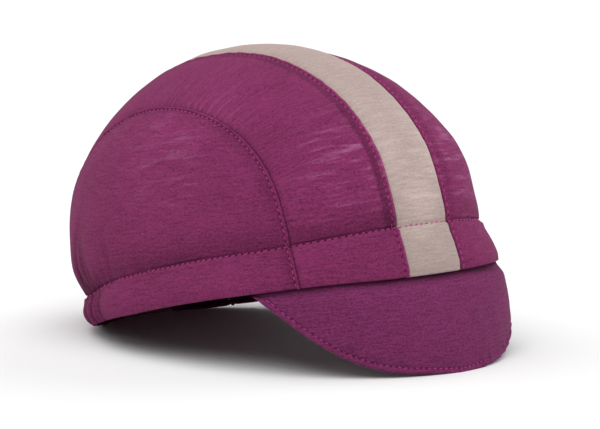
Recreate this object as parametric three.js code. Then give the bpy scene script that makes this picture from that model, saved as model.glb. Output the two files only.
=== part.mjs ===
// Three-panel cloth cap with a short turned-down peak, standing on the peak and on the back of its hem.
// Millimetres, +Z up, the front at -Y, the wearer's right at -X, the origin on the ground under its middle.
import * as THREE from "three";

const { degToRad, euclideanModulo, lerp, radToDeg, smoothstep } = THREE.MathUtils;

// Driving dimensions, in the upright cap's own frame: the crown's axis is x = y = 0, and z = 0 is about
// the height of the front hem. Angles round the cap run from the front, by the right ear, to the back.
const reach = { front: 107.4, side: 78, back: 92.8 }; // from the axis to the row of stitches above the hem
const squareness = { front: 2.6, back: 2 }; // exponent of that oval: 2 is an ellipse, more is squarer
const crownTop = 122.5; // height of the top
const lean = 16.1; // degrees that the resting cap leans back
const groundDepth = 11.3; // how far the ground lies under the axis of that lean
const wall = { panel: 1.5, sweatband: 1.2, peak: 1.5 }; // thickness of the cloth
const gap = 0.4; // between neighbours
const stripeWidth = 31;
const sideSeam = { offset: 49.8, taper: 0.103 }; // each seam lies where |x| = offset - taper * y

// Heights and forms round the cap: angle, height of the stitches and of the hem, how far the hem stands
// out past the stitches, how far the band bulges between them, and how far the stitches draw the cloth in.
const stations = [
  { angle: 0, stitches: 21.9, hem: -1.0, flare: 3.5, bulge: 0.7, cinch: 0.0 },
  { angle: 45, stitches: 21.8, hem: 3.0, flare: 6.0, bulge: 0.7, cinch: 0.0 },
  { angle: 90, stitches: 25.6, hem: 8.2, flare: 3.6, bulge: 0.9, cinch: 0.6 },
  { angle: 135, stitches: 23.5, hem: 9.5, flare: -1.9, bulge: 2.4, cinch: 2.0 },
  { angle: 180, stitches: 30.4, hem: 11.7, flare: -3.4, bulge: 3.7, cinch: 2.6 },
];

// Reach of the crown over that of a round dome, by the angle above the stitches.
const profile = [
  { rise: 0, front: 1.0, side: 1.0, back: 1.0 },
  { rise: 8, front: 1.018, side: 0.995, back: 1.069 },
  { rise: 20, front: 1.049, side: 1.006, back: 1.112 },
  { rise: 34, front: 1.055, side: 1.014, back: 1.164 },
  { rise: 48, front: 1.055, side: 0.99, back: 1.189 },
  { rise: 62, front: 1.055, side: 0.976, back: 1.2 },
  { rise: 76, front: 1.055, side: 0.972, back: 1.206 },
  { rise: 90, front: 1.055, side: 0.971, back: 1.207 },
];

// Gathers that the elastic makes at the back: angle, depth and half width of each fold, and its climb
// above the stitches. Angles past 180 are on the wearer's left.
const folds = [
  { angle: 108, depth: 0.6, width: 2.6, climb: 10 },
  { angle: 117, depth: 1.0, width: 2.8, climb: 22 },
  { angle: 126, depth: 1.2, width: 2.6, climb: 13 },
  { angle: 134, depth: 1.1, width: 2.5, climb: 26 },
  { angle: 142, depth: 1.2, width: 2.3, climb: 12 },
  { angle: 154, depth: 1.2, width: 2.4, climb: 18 },
  { angle: 162, depth: 1.1, width: 2.3, climb: 11 },
  { angle: 175, depth: 1.3, width: 2.6, climb: 21 },
  { angle: 184, depth: 1.1, width: 2.4, climb: 12 },
  { angle: 198, depth: 1.2, width: 2.5, climb: 22 },
  { angle: 206, depth: 1.1, width: 2.2, climb: 11 },
  { angle: 218, depth: 1.2, width: 2.4, climb: 19 },
  { angle: 226, depth: 1.1, width: 2.6, climb: 13 },
  { angle: 235, depth: 1.2, width: 2.7, climb: 24 },
  { angle: 244, depth: 0.9, width: 2.7, climb: 12 },
  { angle: 253, depth: 0.5, width: 2.6, climb: 9 },
];

// The peak: angle round the hem to its corners, length and slope of its middle line below the horizontal,
// powers that shape its edge in plan and in height, the drop of the edge halfway to each corner, the
// bulge of its face forwards and upwards, and how far it is tucked in under the hem.
const peak = {
  corner: 60,
  length: 45.2,
  slope: 84,
  planPower: 1.41,
  heightPower: 1.63,
  drop: 12.9,
  bulge: { forwards: 2.8, upwards: 0.9 },
  tuck: 0.6,
};

// The sweatband: its top and lower edge as shares of the band's height, where it clears the peak and
// where it shows under the hem, the angle by which it has come down, its clearance behind the panels,
// and the room that it leaves to the gathers, from one angle on and in full from another.
const sweatband = { top: 0.1, overPeak: 0.86, behind: 1.02, down: 68, clearance: 0.9 };
const gatherRoom = { depth: 1.4, from: 100, full: 125 };

const cinchSpread = { crown: 9, band: 6 }; // height over which the stitches draw the cloth in
const seamDip = { depth: 0.6, width: 3.5, clear: 12 }; // valley along each seam of the crown
const hemRoll = { depth: 0.8, share: 0.12 }; // turn of the hem's lower edge
const halvings = 40; // of the search for a place on a seam
const heart = new THREE.Vector3(0, 0, 40); // a point inside the head's hollow
const peakShare = { top: 0.94, under: 0.9 }; // how much of the way to its corners each cover of the peak goes
const underLength = 0.97; // length of the peak's under cover over that of its upper one
const peakDrop = 0.8; // of the covers under the hem

// Steps of the meshes: rows of the centre panel over the crown, rows and columns of a side panel above
// the stitches, columns of the other pieces, and rows of the band, the sweatband and the peak.
const steps = { crown: 36, rise: 8, side: 30, strip: 7, stripe: 8, ring: 60, peakAcross: 30 };
const bandRows = [0.22, 0.48, 0.74, 0.9, 1];
const ringRows = [0, 0.33, 0.67, 1];
const peakRows = [0, 0.18, 0.4, 0.62, 0.82, 0.95, 1];
const panelEase = 0.4; // finer columns towards the gathers

const colours = { purple: 0x843661, purpleFront: 0x873f68, stripe: 0xbaa7a1, dark: 0x2b2327, peak: 0x723159 };

// A smooth curve through one column of a table. One more row, mirrored, makes it level at its far end.
function columnCurve(rows, key, name, start) {
  const [before, last] = rows.slice(-2);
  const knots = [...rows.map((row) => row[key]), 2 * last[key] - before[key]];
  const values = [...rows.map((row) => row[name]), before[name]];
  const curve = new THREE.CubicInterpolant(knots, values, 1, [0]);
  curve.settings = { endingStart: start };
  return (at) => curve.evaluate(at)[0];
}

const station = {};
for (const name of ["stitches", "hem", "flare", "bulge", "cinch"])
  station[name] = columnCurve(stations, "angle", name, THREE.ZeroSlopeEnding);

const swell = {};
for (const name of ["front", "side", "back"])
  swell[name] = columnCurve(profile, "rise", name, THREE.ZeroCurvatureEnding);

const bell = (x) => Math.exp(-x * x);
const signedPower = (x, power) => Math.sign(x) * Math.abs(x) ** power;

// Angle from the front, from 0 to 180, on either side of the cap.
function fromFront(theta) {
  const turn = euclideanModulo(radToDeg(theta), 360);
  return Math.min(turn, 360 - turn);
}

// Depth of the gathers at an angle, at a height above the stitches (or 0 below them).
function foldDepth(theta, height) {
  const turn = euclideanModulo(radToDeg(theta), 360);
  let depth = 0;
  for (const fold of folds)
    depth += fold.depth * bell((turn - fold.angle) / fold.width) * bell(height / fold.climb);
  return depth;
}

// Point of the oval through given reaches, moved out from the axis by push.
function ovalPoint(theta, radii, height, roundness, push) {
  const c = Math.cos(theta);
  const s = Math.sin(theta);
  const power = 2 / lerp(c > 0 ? squareness.front : squareness.back, 2, roundness);
  const x = -radii.side * signedPower(s, power);
  const y = -(c > 0 ? radii.front : radii.back) * signedPower(c, power);
  const outward = 1 + push / Math.max(Math.hypot(x, y), 1);
  return new THREE.Vector3(x * outward, y * outward, height);
}

// Point of the crown. Across and along are places on a disc: its middle is the top of the crown, its
// rim the row of stitches, and along runs from -1 at the front to 1 at the back.
function crownPoint(across, along) {
  const rise = 90 * (1 - Math.hypot(across, along));
  const theta = Math.atan2(across, -along);
  const radii = {};
  for (const name of ["front", "side", "back"])
    radii[name] = reach[name] * Math.cos(degToRad(rise)) * swell[name](rise);
  const base = station.stitches(fromFront(theta));
  const height = (crownTop - base) * Math.sin(degToRad(rise));
  const cinch = station.cinch(fromFront(theta)) * bell(height / cinchSpread.crown);
  const roundness = Math.sin(degToRad(rise)) ** 2;
  return ovalPoint(theta, radii, base + height, roundness, -cinch - foldDepth(theta, height));
}

// Point of the band below the stitches: share is 0 at the stitches and 1 at the hem.
function bandPoint(theta, share, gathered = true) {
  const angle = fromFront(theta);
  const fall = (station.stitches(angle) - station.hem(angle)) * share;
  const cinch = station.cinch(angle) * bell(fall / cinchSpread.band);
  const bulge = station.bulge(angle) * Math.sin(Math.PI * Math.min(share, 1));
  const turned = hemRoll.depth * bell((1 - share) / hemRoll.share);
  const push = station.flare(angle) * share + bulge - cinch - turned;
  const folded = gathered ? foldDepth(theta, 0) : 0;
  return ovalPoint(theta, reach, station.stitches(angle) - fall, 0, push - folded);
}

// Point of the peak's upper face: turn runs from -1 to 1 between its corners, share from the hem to its edge.
function peakPoint(turn, share) {
  const sweep = (turn * Math.PI) / 2;
  const corner = bandPoint(degToRad(peak.corner), 1);
  const middle = bandPoint(0, 1);
  const slope = degToRad(peak.slope);
  const downwards = new THREE.Vector3(0, -Math.cos(slope), -Math.sin(slope));
  const tip = middle.addScaledVector(downwards, peak.length);
  const inner = bandPoint(degToRad(peak.corner) * Math.sin(sweep), 1);
  inner.y += peak.tuck;
  const reachOut = Math.abs(Math.cos(sweep));
  const outer = new THREE.Vector3(
    corner.x * Math.sin(sweep),
    lerp(corner.y, tip.y, reachOut ** peak.planPower),
    lerp(corner.z, tip.z, 1 - Math.abs(Math.sin(sweep)) ** peak.heightPower)
      - peak.drop * Math.sin(2 * sweep) ** 2,
  );
  const swelling = Math.sin(Math.PI * share) * reachOut;
  const bulge = new THREE.Vector3(0, -peak.bulge.forwards, peak.bulge.upwards).multiplyScalar(swelling);
  return inner.lerp(outer, share).add(bulge);
}

// Turns a point of the upright cap to the leaning one, and flattens what the ground would press up.
function settle(point) {
  const leaning = point.clone().applyAxisAngle(new THREE.Vector3(1, 0, 0), -degToRad(lean));
  leaning.z = Math.max(leaning.z + groundDepth, 0);
  return leaning;
}

// A form's point and its normal away from the head.
function skin(form, a, b) {
  const nudge = 1e-3;
  const first = form(a + nudge, b).sub(form(a - nudge, b));
  const second = form(a, b + nudge).sub(form(a, b - nudge));
  const point = form(a, b);
  const normal = first.cross(second).normalize();
  if (normal.dot(point.clone().sub(heart)) < 0) normal.negate();
  return { point, normal };
}

// The crown's skin, drawn in along its seams. On the row of stitches it shares its normal with the band.
function crownSkin(across, along) {
  const place = skin(crownPoint, across, along);
  const rim = Math.hypot(across, along);
  const onStitches = rim > 1 - 1e-6;
  if (onStitches) place.normal.add(skin(bandPoint, Math.atan2(across, -along), 0).normal).normalize();
  const { x, y, z } = place.point;
  const toStripe = Math.abs(Math.abs(x) - stripeWidth / 2);
  const toSide = Math.abs(Math.abs(x) - sideSeam.offset + sideSeam.taper * y);
  const above = z - station.stitches(fromFront(Math.atan2(across, -along)));
  const dip = seamDip.depth * Math.max(bell(toStripe / seamDip.width), bell(toSide / seamDip.width));
  place.point.addScaledVector(place.normal, -dip * (1 - bell(above / seamDip.clear)));
  return place;
}

const bandSkin = (theta, share) => skin(bandPoint, theta, share);

// Place on the crown's disc where the row at along meets the upright plane |x| = offset - taper * y.
function planeCut(along, { offset, taper }) {
  const side = Math.sign(offset);
  const place = (across) => [side * across, along * Math.sqrt(1 - across * across)];
  let low = 0;
  let high = 1;
  for (let halving = 0; halving < halvings; halving++) {
    const middle = (low + high) / 2;
    const { x, y } = crownPoint(...place(middle));
    if (Math.abs(x) < Math.abs(offset) - taper * y) low = middle;
    else high = middle;
  }
  return place(low);
}

// Even rows of the crown's disc, from the front stitches at -1 to the back ones at 1.
const crownRows = (count) => Array.from({ length: count + 1 }, (_, row) => -1 + (2 * row) / count);

// A closed sheet of cloth: rows of outer points with normals, thickened inwards. A ring closes on itself.
function sheet(name, rows, thickness, colour, ring = false) {
  const across = rows[0].length;
  const layer = rows.length * across;
  const places = rows.flat();
  const outer = places.map(({ point }) => settle(point));
  const inner = places.map(({ point, normal }) => settle(point.clone().addScaledVector(normal, -thickness)));
  const top = (row, column) => row * across + (column % across);
  const under = (row, column) => layer + top(row, column);
  const faces = [];
  const quad = (a, b, c, d) => faces.push([a, b, c], [a, c, d]);
  const cells = ring ? across : across - 1;
  for (let column = 0; column < cells; column++) {
    const next = column + 1;
    const last = rows.length - 1;
    for (let row = 0; row < last; row++) {
      quad(top(row, column), top(row, next), top(row + 1, next), top(row + 1, column));
      quad(under(row, next), under(row, column), under(row + 1, column), under(row + 1, next));
    }
    quad(top(0, next), top(0, column), under(0, column), under(0, next));
    quad(top(last, column), top(last, next), under(last, next), under(last, column));
  }
  for (let row = 0; row < rows.length - 1 && !ring; row++) {
    const edge = across - 1;
    quad(top(row, 0), top(row + 1, 0), under(row + 1, 0), under(row, 0));
    quad(top(row + 1, edge), top(row, edge), under(row, edge), under(row + 1, edge));
  }
  const points = [...outer, ...inner];
  const geometry = new THREE.BufferGeometry().setFromPoints(points);
  const outside = facesOut(rows) ? faces : faces.map(([a, b, c]) => [a, c, b]);
  geometry.setIndex(outside.flat());
  geometry.computeVertexNormals();
  const material = new THREE.MeshStandardMaterial({ color: colour, roughness: 0.95, metalness: 0 });
  const mesh = new THREE.Mesh(geometry, material);
  mesh.name = name;
  return mesh;
}

// Whether the rows and columns of a sheet turn so that its faces look along the normals.
function facesOut(rows) {
  const row = Math.floor(rows.length / 2);
  const column = Math.floor(rows[0].length / 2);
  const { point, normal } = rows[row][column];
  const alongColumn = rows[row][column - 1].point.clone().sub(point).negate();
  const alongRow = rows[row - 1][column].point.clone().sub(point).negate();
  return alongColumn.cross(alongRow).dot(normal) > 0;
}

// A strip of the centre panel, from the front hem over the top to the back hem. Its columns lie in
// upright planes between two edges, each an offset from the middle and a taper.
function centreStrip(name, from, to, columns, colour) {
  const cuts = Array.from({ length: columns + 1 }, (_, column) => ({
    offset: lerp(from.offset, to.offset, column / columns),
    taper: lerp(from.taper, to.taper, column / columns),
  }));
  const crown = crownRows(steps.crown).map((along) => cuts.map((cut) => planeCut(along, cut)));
  const band = (rim) => bandRows.map((share) =>
    rim.map(([across, along]) => bandSkin(Math.atan2(across, -along), share)));
  const rows = [
    ...band(crown[0]).reverse(),
    ...crown.map((row) => row.map((place) => crownSkin(...place))),
    ...band(crown[crown.length - 1]),
  ];
  return sheet(name, rows, wall.panel, colour);
}

// A side panel: a D over the ear, whose upper part is a net stretched between its seam and the stitches.
function sidePanel(name, side) {
  const last = steps.side + 2 * steps.rise;
  const edge = { offset: side * (sideSeam.offset + gap / 2), taper: sideSeam.taper };
  const seam = crownRows(last).map((along) => planeCut(along, edge));
  const columns = steps.side;
  const angleAt = (place) => Math.atan2(place[0], -place[1]);
  const from = angleAt(seam[0]);
  const to = angleAt(seam[last]);
  const rim = Array.from({ length: columns + 1 }, (_, column) => {
    const share = column / columns;
    return lerp(from, to, share * (1 + panelEase * (1 - share)));
  });
  const onRim = (theta) => [Math.sin(theta), -Math.cos(theta)];
  const net = (column, row) => {
    const u = column / columns;
    const v = row / steps.rise;
    const ends = [onRim(rim[column]), seam[steps.rise + column], seam[row], seam[last - row]];
    const corners = [seam[0], seam[last], seam[steps.rise], seam[last - steps.rise]];
    return [0, 1].map((axis) =>
      lerp(ends[0][axis], ends[1][axis], v) + lerp(ends[2][axis], ends[3][axis], u)
      - lerp(lerp(corners[0][axis], corners[1][axis], u), lerp(corners[2][axis], corners[3][axis], u), v));
  };
  const rows = [];
  for (let row = steps.rise; row > 0; row--)
    rows.push(rim.map((_, column) => crownSkin(...net(column, row))));
  rows.push(rim.map((theta) => crownSkin(...onRim(theta))));
  for (const share of bandRows) rows.push(rim.map((theta) => bandSkin(theta, share)));
  return sheet(name, rows, wall.panel, colours.purple);
}

// The sweatband, a ring behind the band, raised at the front to clear the peak.
function makeSweatband() {
  const ring = Array.from({ length: steps.ring }, (_, column) => (2 * Math.PI * column) / steps.ring);
  const smooth = (theta, share) => bandPoint(theta, share, false);
  const rows = ringRows.map((row) => ring.map((theta) => {
    const angle = fromFront(theta);
    const behindPeak = 1 - smoothstep(angle, peak.corner, sweatband.down);
    const lower = lerp(sweatband.behind, sweatband.overPeak, behindPeak);
    const place = skin(smooth, theta, lerp(sweatband.top, lower, row));
    const gathered = gatherRoom.depth * smoothstep(angle, gatherRoom.from, gatherRoom.full);
    place.point.addScaledVector(place.normal, -(wall.panel + sweatband.clearance + gathered));
    return place;
  }));
  return sheet("sweatband", rows, wall.sweatband, colours.dark, true);
}

// A cover of the peak, sunk a given depth under its upper face and hung just below the hem. It hangs so
// steeply that its thickness is laid off level.
function peakCover(name, depth, reachShare, lengthShare) {
  const turns = Array.from({ length: steps.peakAcross + 1 }, (_, column) =>
    reachShare * (-1 + (2 * column) / steps.peakAcross));
  const rows = peakRows.map((share) => turns.map((turn) => {
    const place = skin(peakPoint, turn, share * lengthShare);
    place.normal.setZ(0).normalize();
    place.point.addScaledVector(place.normal, -depth);
    place.point.z -= peakDrop;
    return place;
  }));
  return sheet(name, rows, wall.peak, colours.peak);
}

const stripeEdge = stripeWidth / 2;
const innerEdge = { offset: stripeEdge + gap / 2, taper: 0 };
const outerEdge = { offset: sideSeam.offset - gap / 2, taper: sideSeam.taper };
const mirrored = (edge) => ({ offset: -edge.offset, taper: edge.taper });
const leftOfStripe = { offset: -(stripeEdge - gap / 2), taper: 0 };
const rightOfStripe = { offset: stripeEdge - gap / 2, taper: 0 };

const cap = new THREE.Group();
cap.add(
  sidePanel("side_panel_right", 1),
  sidePanel("side_panel_left", -1),
  centreStrip("centre_panel_right", innerEdge, outerEdge, steps.strip, colours.purpleFront),
  centreStrip("centre_panel_left", ...[innerEdge, outerEdge].map(mirrored), steps.strip, colours.purpleFront),
  centreStrip("centre_stripe", leftOfStripe, rightOfStripe, steps.stripe, colours.stripe),
  makeSweatband(),
  peakCover("peak_top", 0, peakShare.top, 1),
  peakCover("peak_under", wall.peak + gap, peakShare.under, underLength),
);

// The origin is on the ground under the middle of the whole outline.
const middle = new THREE.Box3().setFromObject(cap).getCenter(new THREE.Vector3());
cap.position.set(-middle.x, -middle.y, 0);

const part = new THREE.Group();
part.add(cap);
export default part;
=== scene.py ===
"""Looks of a three-panel cloth cap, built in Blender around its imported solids.

The cap stands on its peak and on the back of its hem. Every form is worked out in the upright cap's own
frame, in millimetres, with the front at -Y, and is then leant back, set on the ground and scaled to metres.
"""

from __future__ import annotations

import logging
import math
from collections.abc import Callable, Mapping, Sequence
from dataclasses import dataclass, field
from enum import Enum
from typing import Any, NamedTuple

import bpy
import numpy as np
from mathutils import Matrix, Vector
from mathutils.kdtree import KDTree


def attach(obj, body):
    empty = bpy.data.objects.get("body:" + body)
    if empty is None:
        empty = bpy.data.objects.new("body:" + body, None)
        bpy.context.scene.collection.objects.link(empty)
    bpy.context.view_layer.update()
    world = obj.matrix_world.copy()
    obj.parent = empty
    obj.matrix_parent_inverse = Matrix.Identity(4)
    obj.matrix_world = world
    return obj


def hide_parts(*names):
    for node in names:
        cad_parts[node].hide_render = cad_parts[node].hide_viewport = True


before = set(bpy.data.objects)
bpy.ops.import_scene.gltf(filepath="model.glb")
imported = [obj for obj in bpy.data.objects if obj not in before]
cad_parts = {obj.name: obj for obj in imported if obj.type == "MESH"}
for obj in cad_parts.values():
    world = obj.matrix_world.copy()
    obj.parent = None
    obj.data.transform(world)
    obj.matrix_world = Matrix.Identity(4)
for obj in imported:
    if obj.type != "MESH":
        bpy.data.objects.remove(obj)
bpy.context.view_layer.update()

LOG = logging.getLogger("cap")
Array = np.ndarray
Form = Callable[[Array, Array], Array]
METRE = 0.001
NUDGE = 1e-3
TINY = 1e-9
FAR_OFF = 99.0


class Side(Enum):
    """Side of the wearer that a piece is on."""

    RIGHT = 1
    LEFT = -1


class Slot(Enum):
    """Material slots of the record."""

    PURPLE = "purple_cloth"
    PALE = "pale_cloth"
    DARK = "dark_cloth"


def bell(x: Array) -> Array:
    """Smooth hump of height one around zero."""
    return np.exp(-np.square(x))


def smoothstep(x: Array, low: float, high: float) -> Array:
    """Smooth rise from zero at low to one at high."""
    t = np.clip((x - low) / (high - low), 0, 1)
    return t * t * (3 - 2 * t)


def lerp(a: Array, b: Array, t: Array) -> Array:
    """Place a share t of the way from a to b."""
    return a + (b - a) * t


def unit(vectors: Array) -> Array:
    """Vectors scaled to length one."""
    return vectors / np.maximum(np.linalg.norm(vectors, axis=-1, keepdims=True), TINY)


def signed_power(x: Array, power: Array) -> Array:
    """Power of the size of x, with the sign of x."""
    return np.sign(x) * np.abs(x) ** power


@dataclass(frozen=True)
class Spacing:
    """Places along a side of a grid, with fine steps near its end, and near its start if that is marked.

    The steps grow to coarse ones over the length reach, and all lengths are in millimetres.
    """

    SAMPLES = 4001

    length: float
    fine: float
    coarse: float
    reach: float
    fine_start: bool = True

    def places(self) -> Array:
        """Lays out the places.

        Returns:
            Places from zero to one, both included.
        """
        t = np.linspace(0, 1, self.SAMPLES)
        span = self.length / self.reach
        near = self.fine_start * bell(t * span) + bell((1 - t) * span)
        density = 1 / self.coarse + (1 / self.fine - 1 / self.coarse) * near
        total = np.concatenate([[0], np.cumsum((density[1:] + density[:-1]) / 2 * np.diff(t))])
        return np.interp(np.linspace(0, total[-1], round(total[-1] * self.length) + 1), total, t)


@dataclass(frozen=True)
class Hump:
    """Rounded hump across a line: its height, where its top lies and its half width."""

    height: float
    at: float
    width: float

    def __call__(self, aside: Array) -> Array:
        """Heights at signed distances from the line."""
        return self.height * bell((aside - self.at) / self.width)


@dataclass(frozen=True)
class Curve:
    """Smooth curve through knots, level at its far end, where the form is mirrored."""

    knots: tuple[float, ...]
    values: tuple[float, ...]
    level_start: bool = True

    def __call__(self, at: Array) -> Array:
        """Values of the curve.

        Args:
            at: Places along the knots.

        Returns:
            The value at each place.
        """
        knots, values = np.array(self.knots, float), np.array(self.values, float)
        secants = np.diff(values) / np.diff(knots)
        start = 0.0 if self.level_start else secants[0]
        slopes = np.concatenate([[start], (secants[1:] + secants[:-1]) / 2, [0.0]])
        cell = np.clip(np.searchsorted(knots, at, side="right") - 1, 0, len(knots) - 2)
        span = knots[cell + 1] - knots[cell]
        t = (at - knots[cell]) / span
        return (
            (2 * t**3 - 3 * t**2 + 1) * values[cell]
            + (t**3 - 2 * t**2 + t) * span * slopes[cell]
            + (3 * t**2 - 2 * t**3) * values[cell + 1]
            + (t**3 - t**2) * span * slopes[cell + 1]
        )


@dataclass(frozen=True)
class Waves:
    """Soft waves without a repeat that shows, summed from sines of seeded lengths and directions."""

    COUNT = 7
    LENGTHS = (0.7, 1.6)

    height: float
    length: float
    seed: int

    def __call__(self, places: Array) -> Array:
        """Height of the waves.

        Args:
            places: Points, or distances along a line as a last axis of one.

        Returns:
            Heights about zero, mostly within the waves' own height.
        """
        draw = np.random.default_rng(self.seed)
        total = np.zeros(places.shape[:-1])
        for _ in range(self.COUNT):
            way = unit(draw.normal(size=places.shape[-1]))
            turn = 2 * math.pi / (self.length * draw.uniform(*self.LENGTHS))
            total += np.sin(places @ way * turn + draw.uniform(0, 2 * math.pi))
        return self.height * total / math.sqrt(self.COUNT)


@dataclass(frozen=True)
class Fold:
    """One gather of the back: its angle at the stitches, depth, half width and climb above them.

    It leans by slant degrees for each millimetre up, and keeps a share below of its depth on the band.
    """

    angle: float
    depth: float
    width: float
    climb: float
    slant: float = 0.0
    below: float = 1.0


def main_folds() -> list[Fold]:
    """Lists the large gathers.

    Returns:
        The gathers that the solids have too.
    """
    rows = [
        (108, 0.6, 2.6, 10), (117, 1.0, 2.8, 22), (126, 1.2, 2.6, 13), (134, 1.1, 2.5, 26),
        (142, 1.2, 2.3, 12), (154, 1.2, 2.4, 18), (162, 1.1, 2.3, 11), (175, 1.3, 2.6, 21),
        (184, 1.1, 2.4, 12), (198, 1.2, 2.5, 22), (206, 1.1, 2.2, 11), (218, 1.2, 2.4, 19),
        (226, 1.1, 2.6, 13), (235, 1.2, 2.7, 24), (244, 0.9, 2.7, 12), (253, 0.5, 2.6, 9),
    ]
    return [Fold(*row) for row in rows]


def fine_folds() -> list[Fold]:
    """Lists the small gathers.

    Returns:
        The gathers between the large ones, of which those on the right were laid out one by one.
    """
    draw = np.random.default_rng(12)
    depths, widths, climbs = (0.4, 0.65), (1.0, 1.35), (5, 13)
    near = [
        Fold(101.0, 1.1, 1.7, 16, 0, 0), Fold(104.6, 0.8, 1.1, 13, 0, 0),
        Fold(113.0, 0.7, 1.0, 10, 0, 0), Fold(116.2, 0.7, 1.0, 14, -0.05, 0),
        Fold(120.4, 0.7, 1.1, 18, -0.1, 0), Fold(132.5, 2.2, 1.9, 21, -0.45, 0.4),
        Fold(125.0, 1.3, 5.0, 18, -0.3, 0.2), Fold(134.5, 0.3, 1.5, 30, -0.2, 0.3),
        Fold(109.3, 0.9, 1.1, 3), Fold(112.6, 1.2, 1.1, 3),
        Fold(118.4, 1.3, 1.2, 3), Fold(124.5, 1.1, 1.2, 3),
    ]
    angles = [
        138.2, 146.3, 150.0, 158.1, 166.4, 170.3, 179.6, 188.2,
        193.0, 202.1, 210.3, 214.2, 222.2, 230.6, 239.6, 248.6,
    ]
    return near + [
        Fold(angle, draw.uniform(*depths), draw.uniform(*widths), draw.uniform(*climbs)) for angle in angles
    ]


class Spot(NamedTuple):
    """Round place on the cloth, on either side of the cap: its middle, its reach and its share."""

    x: float
    y: float
    z: float
    reach: float
    share: float


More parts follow.
